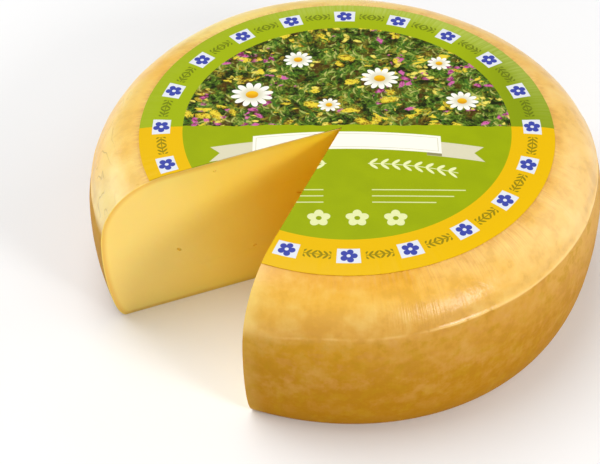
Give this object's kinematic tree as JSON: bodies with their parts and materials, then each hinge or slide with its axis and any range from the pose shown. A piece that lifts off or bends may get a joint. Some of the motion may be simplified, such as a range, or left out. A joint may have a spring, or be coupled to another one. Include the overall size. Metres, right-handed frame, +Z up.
{
  "type": "gouda cheese wheel",
  "caption": "Round wheel of young gouda with a smooth yellow rind, a round printed label on its top, and a wedge cut out that shows the paste inside.",
  "frame": {"origin": "middle of the flat underside of the wheel, which is the bottom centre of its box", "axes": "+Z up, +X along the label's reading direction, and the cut opens towards -X and -Y"},
  "size_m": [0.3604, 0.3594, 0.1213],
  "materials": {
    "cheese": "smooth waxy rind with a soft sheen, and a buttery paste in the cut",
    "label": "thin coated print in green and yellow, satin"
  },
  "bodies": {
    "root": {"cheese": "cheese", "label": "label"}
  },
  "joints": []
}
